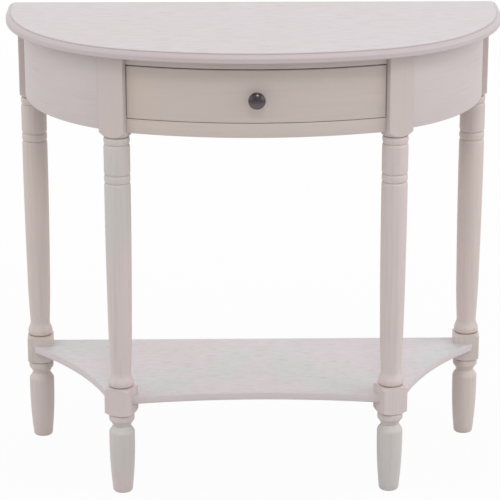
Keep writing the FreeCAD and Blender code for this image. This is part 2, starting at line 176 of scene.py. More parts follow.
# Knob: radii, and lengths from its seat on the drawer outwards
KNOB_BASE = 0.0075
KNOB_BASE_LENGTH = 0.0025
KNOB_BASE_UPRIGHT = 0.7
KNOB_COVE = 0.0006
KNOB_STEM = 0.005
KNOB_STEM_LENGTH = 0.006
KNOB_FLARE_LENGTH = 0.0078
KNOB_FLARE_POWER = 2.2
KNOB_FLARE_STEPS = 8
KNOB_RADIUS = 0.01325
KNOB_RIM_LENGTH = 0.0028
KNOB_EASE = 0.0008
KNOB_STEP = 0.0012
KNOB_STEP_RISE = 0.0004
KNOB_DOME_TILT = math.radians(56)
KNOB_DOME_STEPS = 12
KNOB_SEGMENTS = 64

# Places read from the frame
top_low, top_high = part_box("table_top")
rear_y = top_high.y
front_y = rear_y - TOP_DEPTH
side_y = rear_y - SIDE_STRAIGHT
leg_top = top_low.z
rear_low, rear_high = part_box("leg_rear_right")
rear_leg = (rear_low + rear_high) / 2
half_leg = (rear_high.x - rear_low.x) / 2
front_low, front_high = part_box("leg_front_right")
front_leg = (front_low + front_high) / 2
shelf_low, shelf_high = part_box("shelf")
block_side = Vector((math.cos(FRONT_LEG_TURN), math.sin(FRONT_LEG_TURN), 0))
block_front = Vector((math.sin(FRONT_LEG_TURN), -math.cos(FRONT_LEG_TURN), 0))
face_centre = Vector((0, front_y + TOP_FRONT_RADIUS, 0))
face_radius = TOP_FRONT_RADIUS - FACE_SET_IN


def at_front_leg(side, ahead):
    """Place given in the front right leg's own turned directions, at floor level."""
    return Vector((front_leg.x, front_leg.y, 0)) + block_side * side + block_front * ahead


def across(place):
    """The same place on the other side of the table."""
    return Vector((-place.x, place.y, place.z))


class Wire:
    """One socket of a finish: sums and products on it add Math nodes, and make adds any other node."""

    def __init__(self, tree, socket=None):
        self.tree = tree
        self.socket = socket

    def make(self, kind, inputs, output=0, **settings):
        node = self.tree.nodes.new("ShaderNode" + kind)
        for name, value in settings.items():
            setattr(node, name, value)
        for key, value in inputs.items():
            if isinstance(value, Wire):
                self.tree.links.new(value.socket, node.inputs[key])
            else:
                node.inputs[key].default_value = value
        return Wire(self.tree, node.outputs[output]) if node.outputs else None

    def maths(self, operation, left, right):
        return self.make("Math", {0: left, 1: right}, operation=operation)

    def __add__(self, other):
        return self.maths("ADD", self, other)

    __radd__ = __add__

    def __sub__(self, other):
        return self.maths("SUBTRACT", self, other)

    def __rsub__(self, other):
        return self.maths("SUBTRACT", other, self)

    def __mul__(self, other):
        return self.maths("MULTIPLY", self, other)

    __rmul__ = __mul__

    def ramp(self, low, high):
        """0 at low and 1 at high, with a smooth change between."""
        return self.make("MapRange", {0: self, 1: low, 2: high}, interpolation_type="SMOOTHSTEP")

    def blend(self, first, second):
        """Colour that goes from first to second as this value goes from 0 to 1."""
        return self.make("Mix", {0: self, 6: first, 7: second}, output=2, data_type="RGBA")

    def upright(self):
        """The Z share of this place or direction."""
        return self.make("SeparateXYZ", {0: self}, output="Z")

    def noise(self, stretch, detail, roughness=0.5):
        """Noise at this place whose size along each axis is set by stretch, in turns per metre."""
        spread = self.make("VectorMath", {0: self, 1: stretch}, operation="MULTIPLY")
        return self.make("TexNoise", {"Vector": spread, "Scale": 1, "Detail": detail, "Roughness": roughness})

    def bump(self, strength, distance):
        """Normal of a surface that has this value as its relief."""
        inputs = {"Strength": strength, "Distance": distance, "Height": self}
        return self.make("Bump", inputs, output="Normal")

    def attribute(self, name):
        return self.make("Attribute", {}, output="Fac", attribute_name=name)

    def coordinates(self, kind="Object"):
        return self.make("TexCoord", {}, output=kind)


def paint(red, green, blue):
    """Linear colour of a tone given as it looks on a screen, 0 to 255."""
    shares = [tone / 255 for tone in (red, green, blue)]
    curve = [share / 12.92 if share <= 0.04045 else ((share + 0.055) / 1.055) ** 2.4 for share in shares]
    return (*curve, 1)


def new_finish(name):
    material = bpy.data.materials.new(name)
    material.use_nodes = True
    material.node_tree.nodes.clear()
    return material, Wire(material.node_tree)


def close_finish(start, **sockets):
    """Join a surface to the output; the names of its sockets have underscores for spaces."""
    named = {key.replace("_", " "): value for key, value in sockets.items()}
    start.make("OutputMaterial", {"Surface": start.make("BsdfPrincipled", named)})


# Grain of a finish: the axes it runs along, lines per metre across them, stroke length in lines, and strength
Brush = namedtuple("Brush", "along pitch stroke strength")
ALONG_X, ALONG_Y, ALONG_Z, LEVEL = (0,), (1,), (2,), (0, 1)
TOP_BRUSH = Brush(ALONG_X, pitch=280, stroke=9, strength=0.62)
SHELF_BRUSH = Brush(ALONG_X, pitch=300, stroke=6, strength=0.72)
APRON_BRUSH = Brush(LEVEL, pitch=210, stroke=20, strength=0.24)
FRONT_BRUSH = Brush(LEVEL, pitch=210, stroke=20, strength=0.18)
LEG_BRUSH = Brush(ALONG_Z, pitch=260, stroke=40, strength=0.42)

# Washed paint: turns per metre of its drifts, and where on their noise one tone gives way to the other
DRIFT_TURNS = (6.0, 6.0, 6.0)
MOTTLE_TURNS = (38.0, 38.0, 38.0)
DRIFT_SHARE = 0.85
EVEN_DRIFTS = (0.40, 0.60)
FEW_DRIFTS = (0.50, 0.66)
STREAK_RISE = (0.42, 0.74)
BAND_RISE = (0.38, 0.66)
BAND_SHARE = 0.55
EDGE_CALM = 0.7
COOL_FOOT = 0.128
COOL_FADE = 0.01
COOL_SHARE = 0.85
PAINT_ROUGHNESS = 0.44
PAINT_SPECULAR = 0.4
BRUSH_RELIEF = 0.0004


def washed_paint(name, brush, blush, sage, streak, drifts=FEW_DRIFTS, edge=None, recess_shade_and_wear=None, foot=None):
    """Satin washed paint: drifts of two tones under brushed streaks.

    edge is the tone of mouldings, board edges and upper blocks, darker on the blocks partly as painted shade;
    recess_shade_and_wear holds the tones beside and inside a groove, painted shade with worn paint in the
    legs' grooves, and foot is the height below which the second tone takes over.
    """
    material, start = new_finish(name)
    place = start.coordinates()
    fine = [brush.pitch / brush.stroke if axis in brush.along else brush.pitch for axis in range(3)]
    broad = [turns / 2 if axis in brush.along else turns / 3 for axis, turns in enumerate(fine)]
    grain = place.noise(fine, detail=3, roughness=0.6)
    band = place.noise(broad, detail=2)
    drift = place.noise(DRIFT_TURNS, detail=2)
    mottle = place.noise(MOTTLE_TURNS, detail=3)
    patch = (drift * DRIFT_SHARE + mottle * (1 - DRIFT_SHARE)).ramp(*drifts)
    if foot:
        height = place.upright()
        cool = height.ramp(0, foot / 2) * (1 - height.ramp(foot - COOL_FADE, foot))
        patch = 1 - (1 - patch) * (1 - cool * COOL_SHARE)
    tone = patch.blend(blush, sage)
    lines = grain.ramp(*STREAK_RISE) * (1 - BAND_SHARE + band.ramp(*BAND_RISE) * BAND_SHARE)
    if edge:
        rim = start.attribute("rim")
        tone = rim.blend(tone, edge)
        lines = lines * (1 - rim * EDGE_CALM)
    tone = (lines * brush.strength).blend(tone, streak)
    # Tones beside and inside a groove or the quirk: painted shade, with worn paint as well in the legs'
    # grooves
    if recess_shade_and_wear:
        beside, inside = recess_shade_and_wear
        shaded_and_worn = start.attribute("recess_shade_and_wear")
        rubbed_and_shaded = shaded_and_worn.ramp(0.0, 0.6) * (0.30 + mottle.ramp(0.35, 0.65) * 0.30)
        tone = rubbed_and_shaded.blend(tone, beside)
        tone = (shaded_and_worn.ramp(0.55, 1.0) * 0.85).blend(tone, inside)
    relief = (grain * 0.7 + band * 0.3).bump(0.22, BRUSH_RELIEF)
    gloss = PAINT_ROUGHNESS + mottle * 0.10 + lines * 0.12
    close_finish(start, Base_Color=tone, Roughness=gloss, Normal=relief, Specular_IOR_Level=PAINT_SPECULAR)
    return material


# Bare wood: turns per metre along and across the board, and growth lines in the full range of their noise
GROWTH_ALONG, GROWTH_ACROSS = 1.6, 60.0
PORE_ALONG, PORE_ACROSS = 14.0, 700.0
GROWTH_LINES = 40
PORE_RELIEF = 0.0004
early_wood = paint(222, 199, 165)
late_wood = paint(196, 162, 122)
pore_tone = paint(158, 124, 90)


def bare_wood(name, along):
    """Planed softwood: pale early wood with warmer growth lines along the board."""
    material, start = new_finish(name)
    place = start.coordinates()
    growth = place.noise([GROWTH_ALONG if axis in along else GROWTH_ACROSS for axis in range(3)], 4, 0.55)
    pore = place.noise([PORE_ALONG if axis in along else PORE_ACROSS for axis in range(3)], 2, 0.6)
    rings = start.make("Math", {0: growth * GROWTH_LINES}, operation="SINE") * 0.5 + 0.5
    tone = (rings.ramp(0.2, 0.95) * 0.55).blend(early_wood, late_wood)
    tone = (pore.ramp(0.55, 0.8) * 0.30).blend(tone, pore_tone)
    relief = (pore + rings * 0.4).bump(0.25, PORE_RELIEF)
    close_finish(start, Base_Color=tone, Roughness=0.55 + pore * 0.15, Normal=relief)
    return material


# Metals: turns per metre of their clouding, specks and tool marks
CLOUD_TURNS = (160.0, 160.0, 160.0)
SPECK_TURNS = (1400.0, 1400.0, 1400.0)
TOOL_MARK_TURNS = (900.0, 3000.0, 900.0)
METAL_RELIEF = 0.0003
# Tones of the dark metal; the palest is a painted reflection of the floor
dark_metal, clouded_metal, floor_reflection_tone = paint(64, 59, 61), paint(74, 68, 72), paint(112, 102, 111)
dull_zinc, bright_zinc = paint(176, 176, 178), paint(206, 206, 208)


def gunmetal(name):
    """Dark polished metal with a painted reflection of the pale floor: paler where the surface faces down."""
    material, start = new_finish(name)
    place = start.coordinates()
    cloud = place.noise(CLOUD_TURNS, 4, 0.6)
    speck = place.noise(SPECK_TURNS, 2)
    # Painted reflection of the pale floor: paler where the metal faces down
    painted_light_mask = start.coordinates("Normal").upright().ramp(0.25, -0.55)
    tone = cloud.ramp(0.35, 0.70).blend(dark_metal, clouded_metal)
    tone = (painted_light_mask * (0.6 + cloud * 0.4)).blend(tone, floor_reflection_tone)
    relief = (cloud + speck * 0.3).bump(0.08, METAL_RELIEF)
    close_finish(start, Base_Color=tone, Metallic=0.80, Roughness=0.20 + cloud * 0.08, Normal=relief)
    return material


def zinc(name):
    """Bright plated steel with fine tool marks."""
    material, start = new_finish(name)
    turning = start.coordinates().noise(TOOL_MARK_TURNS, 2)
    tone = turning.blend(dull_zinc, bright_zinc)
    close_finish(start, Base_Color=tone, Metallic=0.95, Roughness=0.28 + turning * 0.14)
    return material


# Board paint on the top's moulding; towards the ends it fades out as painted light
mould_tone = paint(192, 181, 183)
shelf_edge_tone = paint(205, 197, 200)
# Darker, warmer tone of the upper blocks: partly their own paint, partly painted shade
block_tone_and_shade = paint(200, 189, 186)
# Painted shadow in the quirk line above the top's moulding: tones beside and inside it
mauve_quirk_shade_tones = paint(186, 176, 178), paint(151, 140, 141)
# Tones beside and inside the legs' grooves and lines: worn tan paint and painted shade
tan_shade_and_wear_tones = paint(182, 165, 151), paint(141, 123, 113)
top_paint = washed_paint(
    "washed_top", TOP_BRUSH,
    blush=paint(202, 197, 201), sage=paint(202, 197, 197), streak=paint(179, 172, 174),
    drifts=EVEN_DRIFTS, edge=mould_tone, recess_shade_and_wear=mauve_quirk_shade_tones,
)
shelf_paint = washed_paint(
    "washed_shelf", SHELF_BRUSH,
    blush=paint(206, 198, 203), sage=paint(198, 201, 202), streak=paint(178, 173, 176),
    drifts=EVEN_DRIFTS, edge=shelf_edge_tone,
)
apron_paint = washed_paint(
    "washed_apron", APRON_BRUSH,
    blush=paint(202, 192, 193), sage=paint(199, 191, 190), streak=paint(186, 174, 172),
)
front_paint = washed_paint(
    "washed_front", FRONT_BRUSH,
    blush=paint(200, 188, 183), sage=paint(201, 189, 179), streak=paint(182, 169, 160),
)
leg_paint = washed_paint(
    "washed_leg", LEG_BRUSH,
    blush=paint(206, 194, 193), sage=paint(198, 195, 192), streak=paint(187, 175, 169),
    edge=block_tone_and_shade, recess_shade_and_wear=tan_shade_and_wear_tones, foot=COOL_FOOT,
)
rear_leg_paint = washed_paint(
    "washed_rear_leg", LEG_BRUSH,
    blush=paint(205, 193, 189), sage=paint(202, 191, 187), streak=paint(185, 171, 164),
    edge=block_tone_and_shade, recess_shade_and_wear=tan_shade_and_wear_tones,
)
wood_x = bare_wood("bare_wood_across", ALONG_X)
wood_y = bare_wood("bare_wood_deep", ALONG_Y)
wood_z = bare_wood("bare_wood_upright", ALONG_Z)
knob_metal = gunmetal("dark_metal_knob")
screw_metal = zinc("zinc_screw")


def set_piece(bm, name, body, slot, material, *nodes, sharp=SMOOTH_ANGLE):
    """Close up a mesh, shade it smooth between its sharp edges and put it in the place of its nodes."""
    bmesh.ops.remove_doubles(bm, verts=bm.verts, dist=SAME_PLACE)
    bmesh.ops.recalc_face_normals(bm, faces=bm.faces)
    mesh = bpy.data.meshes.new(name)
    bm.to_mesh(mesh)
    bm.free()
    mesh.shade_smooth()
    mesh.set_sharp_from_angle(angle=sharp)
    mesh.materials.append(material)
    piece = bpy.data.objects.new(name, mesh)
    bpy.context.scene.collection.objects.link(piece)
    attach(piece, body)
    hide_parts(*nodes)


def edges_in(items):
    return [item for item in items if isinstance(item, bmesh.types.BMEdge)]


def verts_in(items):
    return [item for item in items if isinstance(item, bmesh.types.BMVert)]


def faces_in(items):
    return [item for item in items if isinstance(item, bmesh.types.BMFace)]


def saw(bm, place, outward):
    """Cut off what lies past a plane and close the cut."""
    everything = bm.verts[:] + bm.edges[:] + bm.faces[:]
    cut = bmesh.ops.bisect_plane(bm, geom=everything, plane_co=place, plane_no=outward, clear_outer=True)
    bmesh.ops.edgeloop_fill(bm, edges=edges_in(cut["geom_cut"]))


def ease(bm, offset, level=False):
    """Round the arrises, or only the level ones."""
    bmesh.ops.recalc_face_normals(bm, faces=bm.faces)
    arrises = [edge for edge in bm.edges if edge.calc_face_angle(0) > EASED_ANGLE]
    if level:
        arrises = [edge for edge in arrises if abs(edge.verts[0].co.z - edge.verts[1].co.z) < SAME_PLACE]
    bmesh.ops.bevel(
        bm, geom=arrises, offset=offset, segments=EASE_SEGMENTS, profile=0.5,
        affect="EDGES", material=-1, clamp_overlap=True,
    )


def line_to(bm, start, place):
    """Straight edge from a vertex to a place; gives the new vertex."""
    made = bmesh.ops.extrude_vert_indiv(bm, verts=[start])["verts"][0]
    made.co = place
    return made


def arc_about(bm, start, centre, angle):
    """Arc of a vertex about an upright axis; gives the last vertex."""
    steps = max(4, round(abs(angle) / ARC_STEP))
    made = bmesh.ops.spin(bm, geom=[start], cent=centre, axis=UP, angle=angle, steps=steps)
    return verts_in(made["geom_last"])[0]


def hollow_to(bm, start, place, hollow):
    """Arc to a place that curves in towards the middle of the shelf, drawn clockwise round it."""
    chord = place - start.co
    radius = (chord.length ** 2 / 4 + hollow ** 2) / (2 * hollow)
    outward = Vector((-chord.y, chord.x, 0)).normalized()
    centre = start.co + chord / 2 + outward * (radius - hollow)
    return arc_about(bm, start, centre, 2 * math.asin(chord.length / (2 * radius)))


def thicken(bm, rise):
    """Fill the outline that was drawn and give it thickness; gives the drawn face and the new items."""
    drawn = bmesh.ops.edgeloop_fill(bm, edges=bm.edges)["faces"]
    made = bmesh.ops.extrude_face_region(bm, geom=drawn, use_keep_orig=True)["geom"]
    bmesh.ops.translate(bm, verts=verts_in(made), vec=UP * rise)
    return drawn, made


class Bow:
    """Half-round plan outline: straight sides, two side arcs and one wide front arc, all tangent."""

    def __init__(self, half_width, nose_y, front_radius):
        self.half_width = half_width
        self.front_centre = Vector((0, nose_y + front_radius, 0))
        drop = self.front_centre.y - side_y
        spare = front_radius ** 2 - half_width ** 2 - drop ** 2
        self.side_radius = spare / (2 * (front_radius - half_width))
        self.side_centre = Vector((half_width - self.side_radius, side_y, 0))
        self.joint_angle = math.atan2(self.side_centre.x, drop)


def mould_steps():
    """Inset and rise of each step of the moulding, from the widest line up to the flat."""
    steep, shallow = OVOLO_SLOPES
    slopes = [steep + (shallow - steep) * (step + 0.5) / OVOLO_STEPS for step in range(OVOLO_STEPS)]
    inward = sum(math.cos(slope) for slope in slopes)
    upward = sum(math.sin(slope) for slope in slopes)
    steps = [(OVOLO * math.cos(slope) / inward, OVOLO * math.sin(slope) / upward) for slope in slopes]
    steps += [(QUIRK_FLAT, 0), (QUIRK_LEAN, QUIRK_DEPTH - ARRIS)]
    steps += [(ARRIS / 3, ARRIS * 2 / 3), (ARRIS * 2 / 3, ARRIS / 3)]
    return steps


def moulded_top():
    bow = Bow(top_high.x, front_y, TOP_FRONT_RADIUS)
    turn = math.pi / 2 - bow.joint_angle
    widest = top_high.z - QUIRK_DEPTH - OVOLO
    bm = bmesh.new()
    first = bm.verts.new((bow.half_width, rear_y + REAR_OVERRUN, widest))
    vert = line_to(bm, first, (bow.half_width, side_y, widest))
    vert = arc_about(bm, vert, bow.side_centre, -turn)
    vert = arc_about(bm, vert, bow.front_centre, -2 * bow.joint_angle)
    vert = arc_about(bm, vert, across(bow.side_centre), -turn)
    last = line_to(bm, vert, (-bow.half_width, rear_y + REAR_OVERRUN, widest))
    bm.edges.new((last, first))
    upper, lower = thicken(bm, leg_top + TOP_EASE - widest)
    bmesh.ops.recalc_face_normals(bm, faces=bm.faces)
    under = faces_in(lower)
    for inset, rise in mould_steps():
        bmesh.ops.inset_region(bm, faces=upper, thickness=inset, depth=rise, use_even_offset=True)
    for share in (1 / 3, 2 / 3):
        bmesh.ops.inset_region(bm, faces=under, thickness=TOP_EASE * share, depth=TOP_EASE * (1 - share))
    saw(bm, (0, rear_y, 0), REARWARD)
    # Painted light on the moulding: the quirk is darkened as a painted shadow, and that shadow and the
    # moulding's darker tone fade from the front towards the ends, as if the sides were lit more
    rim, shaded_and_worn = bm.verts.layers.float.new("rim"), bm.verts.layers.float.new("recess_shade_and_wear")
    for vert in bm.verts:
        painted_light_mask = 1 - MOULD_SHADE_FADE * ((vert.co.y - front_y) / TOP_DEPTH) ** 2
        in_quirk = abs(vert.co.z - top_high.z + QUIRK_DEPTH) < ARRIS / 2
        vert[rim] = painted_light_mask if vert.co.z < top_high.z - ARRIS / 2 else 0
        vert[shaded_and_worn] = QUIRK_SHADE * painted_light_mask if in_quirk else 0
    set_piece(bm, "moulded_top", "table", "painted_wood", top_paint, "table_top", sharp=MOULD_ANGLE)


def curved_board(centre, outer, inner, low, high, start, sweep):
    """Square-edged board bent round an upright axis; its ends are open and get sawn to length."""
    bm = bmesh.new()
    lead = Vector((math.cos(start), math.sin(start), 0))
    section = [(outer, low), (outer, high), (inner, high), (inner, low)]
    verts = [bm.verts.new(centre + lead * radius + UP * z) for radius, z in section]
    edges = [bm.edges.new((verts[i - 1], verts[i])) for i in range(len(verts))]
    steps = round(abs(sweep) / ARC_STEP)
    bmesh.ops.spin(bm, geom=verts + edges, cent=centre, axis=UP, angle=sweep, steps=steps)
    return bm


def side_apron(side, hand):
    node = "apron_" + side
    low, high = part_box(node)
    half_width = max(abs(low.x), abs(high.x))
    bow = Bow(half_width, front_y + APRON_FRONT_SET_IN, TOP_FRONT_RADIUS - APRON_FRONT_SET_IN)
    inner = bow.side_radius - APRON_THICKNESS
    sweep = -math.pi / 2 - APRON_LEAD
    bm = curved_board(bow.side_centre, bow.side_radius, inner, low.z, high.z, APRON_LEAD, sweep)
    saw(bm, (0, rear_low.y, 0), REARWARD)
    saw(bm, at_front_leg(half_leg, 0), -block_side)
    ease(bm, BOARD_EASE)
    bmesh.ops.scale(bm, vec=(hand, 1, 1), verts=bm.verts)
    set_piece(bm, "curved_apron_" + side, "table", "painted_wood", apron_paint, node)


def bowed_front(node, name, body, thickness, gap=0, foot=0):
    """Rail or drawer front: bowed to one face and cut to lie between the front blocks."""
    low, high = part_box(node)
    low.z -= foot
    inner = face_radius - thickness
    start = FACE_HALF_SWEEP - math.pi / 2
    bm = curved_board(face_centre, face_radius, inner, low.z, high.z, start, -2 * FACE_HALF_SWEEP)
    end = at_front_leg(-half_leg - gap, 0)
    saw(bm, end, block_side)
    saw(bm, across(end), across(block_side))
    ease(bm, BOARD_EASE)
    set_piece(bm, name, body, "painted_wood", front_paint, node)


def hollow_shelf():
    tip = SHELF_FRONT_NOTCH - half_leg
    half_width = shelf_high.x + SHELF_REAR_REACH
    rear_tip = Vector((half_width, rear_low.y, shelf_low.z))
    lift = UP * shelf_low.z
    outer = at_front_leg(half_leg, tip) + lift
    inner = at_front_leg(-half_leg, tip) + lift
    bm = bmesh.new()
    first = bm.verts.new((half_width, shelf_high.y, shelf_low.z))
    vert = line_to(bm, first, rear_tip)
    vert = hollow_to(bm, vert, outer, SHELF_SIDE_HOLLOW)
    vert = line_to(bm, vert, inner)
    vert = hollow_to(bm, vert, across(inner), SHELF_FRONT_HOLLOW)
    vert = line_to(bm, vert, across(outer))
    vert = hollow_to(bm, vert, across(rear_tip), SHELF_SIDE_HOLLOW)
    last = line_to(bm, vert, (-half_width, shelf_high.y, shelf_low.z))
    bm.edges.new((last, first))
    thicken(bm, shelf_high.z - shelf_low.z)
    ease(bm, SHELF_EASE, level=True)
    rim = bm.verts.layers.float.new("rim")
    for vert in bm.verts:
        vert[rim] = 1 if vert.co.z < shelf_high.z - SHELF_EASE / 10 else 0
    set_piece(bm, "hollow_shelf", "table", "painted_wood", shelf_paint, "shelf")


def block_radius(angle):
    """Distance from a leg's axis to the face of its square block, whose arrises are rounded."""
    turn = abs((angle + math.pi / 4) % (math.pi / 2) - math.pi / 4)
    if half_leg * math.tan(turn) <= half_leg - BLOCK_EASE:
        return half_leg / math.cos(turn)
    reach = (half_leg - BLOCK_EASE) * (math.cos(turn) + math.sin(turn))
    return reach + math.sqrt(reach ** 2 - 2 * (half_leg - BLOCK_EASE) ** 2 + BLOCK_EASE ** 2)


class Turning:
    """Rows of a turned leg from the top down; a row gives radius, height and a groove's painted shade and
    wear at an angle.
    """

    def __init__(self):
        self.rows = []
        self.radius = 0
        self.z = 0

    def block_row(self, z):
        self.rows.append(lambda angle: (block_radius(angle), z, 0))

    def round_row(self, radius, z, shade_and_wear):
        self.rows.append(lambda angle: (radius, z, shade_and_wear))

    def shoulder_row(self, share, z, rise):
        """Row on a block's shoulder, where a share of 0 is on the block and 1 is in the groove at z."""
        corner = half_leg * math.sqrt(2)

        def row(angle):
            radius = block_radius(angle) * (1 - share) + GROOVE * share
            out = (radius - GROOVE) / (corner - GROOVE)
            # Painted shade and wear deepen towards the groove
            return radius, z + rise * out ** SHOULDER_POWER, share ** SHOULDER_SHADE_AND_WEAR_POWER

        self.rows.append(row)

    def shoulder(self, z, rise, shares):
        """Round a block's corners to a groove at z; rise is the height of a full corner over the groove."""
        for share in shares:
            self.shoulder_row(share, z, rise)
        self.radius, self.z = GROOVE, z

    def to(self, radius, z, swell=0.0, steps=1, shade_and_wear=0.0):
        """Turned stretch down to a radius and height; swell is how far its middle stands off the chord."""
        start_radius, start_z = self.radius, self.z
        for step in range(1, steps + 1):
            share = step / steps
            chord = start_radius + (radius - start_radius) * share
            off_chord = 4 * swell * share * (1 - share)
            z_row = start_z + (z - start_z) * share
            self.round_row(chord + off_chord, z_row, shade_and_wear if step == steps else 0)
        self.radius, self.z = radius, z

    def quarter(self, radius, length, shade_and_wear=0.0, steps=QUARTER_STEPS):
        """Quarter-round out of a groove to a full radius, or over into the next groove."""
        start_radius, start_z = self.radius, self.z
        z = start_z - length
        for step in range(1, steps + 1):
            turn = math.pi / 2 * step / steps
            early, late = math.sin(turn), 1 - math.cos(turn)
            out_share, down_share = (early, late) if radius > start_radius else (late, early)
            row_radius = start_radius + (radius - start_radius) * out_share
            z_row = start_z + (z - start_z) * down_share
            self.round_row(row_radius, z_row, shade_and_wear if step == steps else 0)
        self.radius, self.z = radius, z

    def straight(self, length):
        self.to(self.radius, self.z - length)

    def line(self):
        """Narrow line between two members, darkened in full with painted shade and wear."""
        self.to(GROOVE, self.z - LINE_LENGTH, shade_and_wear=1.0)


def leg_rows():
    upper_end = leg_top - UPPER_BLOCK_LENGTH
    lower_middle = (shelf_low.z + shelf_high.z) / 2
    lower_top = lower_middle + LOWER_BLOCK_OVER_SHELF
    lower_end = lower_middle - LOWER_BLOCK_UNDER_SHELF
    waist = lower_end - WAIST_DROP
    going_in = [step / SHOULDER_STEPS for step in range(SHOULDER_STEPS + 1)]
    leg = Turning()
    # Upper block, bead, collar and ring
    leg.block_row(leg_top)
    leg.shoulder(upper_end - SHOULDER_DROP, SHOULDER_LENGTH, going_in)
    leg.line()
    leg.quarter(BEAD, BEAD_HEAD)
    leg.quarter(GROOVE, BEAD_TAIL, shade_and_wear=GROOVE_SHADE_AND_WEAR)
    leg.quarter(TURNED, COLLAR_HEAD)
    leg.straight(COLLAR_LENGTH)
    leg.quarter(GROOVE, COLLAR_TAIL, shade_and_wear=GROOVE_SHADE_AND_WEAR)
    leg.quarter(BEAD, RING_HEAD)
    leg.straight(RING_FLAT)
    leg.quarter(GROOVE, RING_TAIL, shade_and_wear=GROOVE_SHADE_AND_WEAR)
    # Shaft and bell
    leg.quarter(TURNED, SHAFT_HEAD)
    leg.to(TURNED, TAPER_START)
    leg.to(TAPERED, TAPER_END, swell=SHAFT_SWELL, steps=12)
    leg.to(NECK, lower_top + NECK_HEIGHT, swell=NECK_SWELL, steps=6)
    leg.to(BELL_FLARE, lower_top + FLARE_HEIGHT, swell=-FLARE_HOLLOW, steps=6)
    leg.to(BELL, lower_top + BELL_HEIGHT, swell=BELL_SWELL, steps=6)
    leg.to(BELL, lower_top + BELL_END)
    leg.to(BELL_LIP, lower_top + BELL_LIP_HEIGHT, shade_and_wear=BELL_LIP_SHADE_AND_WEAR)
    leg.to(GROOVE, lower_top + BELL_GROOVE_HEIGHT, shade_and_wear=1.0)
    leg.line()
    # Lower block, cup, waist and foot
    leg.shoulder(leg.z, -LOWER_SHOULDER_LENGTH, going_in[::-1])
    leg.shoulder(lower_end, LOWER_SHOULDER_LENGTH, going_in)
    leg.to(GROOVE, lower_end - CUP_GROOVE_DROP, shade_and_wear=CUP_GROOVE_SHADE_AND_WEAR)
    leg.quarter(BEAD, CUP_BEAD_DROP - CUP_GROOVE_DROP, steps=4)
    leg.to(BEAD, waist + CUP_START)
    leg.to(CUP, waist + CUP_END, swell=CUP_SWELL, steps=6)
    leg.to(WAIST, waist, swell=WAIST_SWELL, steps=4)
    leg.to(FOOT_SHOULDER, waist - FOOT_SHOULDER_DROP, steps=3)
    leg.to(TURNED, waist - FOOT_FULL_DROP, swell=FOOT_SHOULDER_SWELL, steps=5)
    leg.to(TURNED, FOOT_TAPER_START)
    leg.to(FOOT, FOOT_RIM_HEIGHT, swell=FOOT_SWELL, steps=12)
    leg.to(FOOT_RIM, 0, swell=FOOT_RIM_SWELL, steps=3)
    return leg.rows


def turned_leg(node, centre, turn, finish):
    bm = bmesh.new()
    rim, shaded_and_worn = bm.verts.layers.float.new("rim"), bm.verts.layers.float.new("recess_shade_and_wear")
    ring = bmesh.ops.create_circle(bm, segments=LEG_SIDES, radius=half_leg)["verts"]
    # Gather the sides of the ring towards the corners of the square
    for vert in ring:
        angle = math.atan2(vert.co.y, vert.co.x)
        angle += CORNER_GATHER * math.sin(4 * angle) / 4
        vert.co = (math.cos(angle), math.sin(angle), 0)
    loop = bm.edges[:]
    for number, row in enumerate(leg_rows()):
        if number:
            made = bmesh.ops.extrude_edge_only(bm, edges=loop)["geom"]
            ring, loop = verts_in(made), edges_in(made)
        for vert in ring:
            angle = math.atan2(vert.co.y, vert.co.x)
            radius, z, shade_and_wear = row(angle)
            vert.co = (radius * math.cos(angle), radius * math.sin(angle), z)
            vert[rim] = 1 if number < BLOCK_ROWS else 0
            vert[shaded_and_worn] = shade_and_wear
    ends = [edge for edge in bm.edges if edge.is_boundary]
    bmesh.ops.holes_fill(bm, edges=ends, sides=LEG_SIDES)
    place = Matrix.Translation((centre.x, centre.y, 0)) @ Matrix.Rotation(turn, 4, "Z")
    bmesh.ops.transform(bm, matrix=place, verts=bm.verts)
    set_piece(bm, node.replace("leg_", "turned_leg_"), "table", "painted_wood", finish, node)


def knob_line(length):
    """Radius and distance from the seat along the knob's outline, from the seat to the tip."""
    rim_back = KNOB_BASE_LENGTH + KNOB_STEM_LENGTH + KNOB_FLARE_LENGTH
    rim_front = rim_back + KNOB_RIM_LENGTH
    line = [(0, 0), (KNOB_BASE, 0), (KNOB_BASE, KNOB_BASE_LENGTH * KNOB_BASE_UPRIGHT)]
    line += [(KNOB_BASE - KNOB_EASE, KNOB_BASE_LENGTH), (KNOB_STEM, KNOB_BASE_LENGTH + KNOB_COVE)]
    line += [(KNOB_STEM, KNOB_BASE_LENGTH + KNOB_STEM_LENGTH)]
    for step in range(1, KNOB_FLARE_STEPS + 1):
        share = step / KNOB_FLARE_STEPS
        radius = KNOB_STEM + (KNOB_RADIUS - KNOB_STEM) * share ** KNOB_FLARE_POWER
        line.append((radius, rim_back - KNOB_FLARE_LENGTH * (1 - share)))
    line += [(KNOB_RADIUS, rim_front - KNOB_EASE), (KNOB_RADIUS - KNOB_EASE, rim_front)]
    dome_start = rim_front + KNOB_STEP_RISE
    rim_share = math.cos(KNOB_DOME_TILT)
    for step in range(KNOB_DOME_STEPS + 1):
        tilt = KNOB_DOME_TILT * (1 - step / KNOB_DOME_STEPS)
        rise = (math.cos(tilt) - rim_share) / (1 - rim_share)
        radius = (KNOB_RADIUS - KNOB_STEP) * math.sin(tilt) / math.sin(KNOB_DOME_TILT)
        line.append((radius, dome_start + (length - dome_start) * rise))
    return line


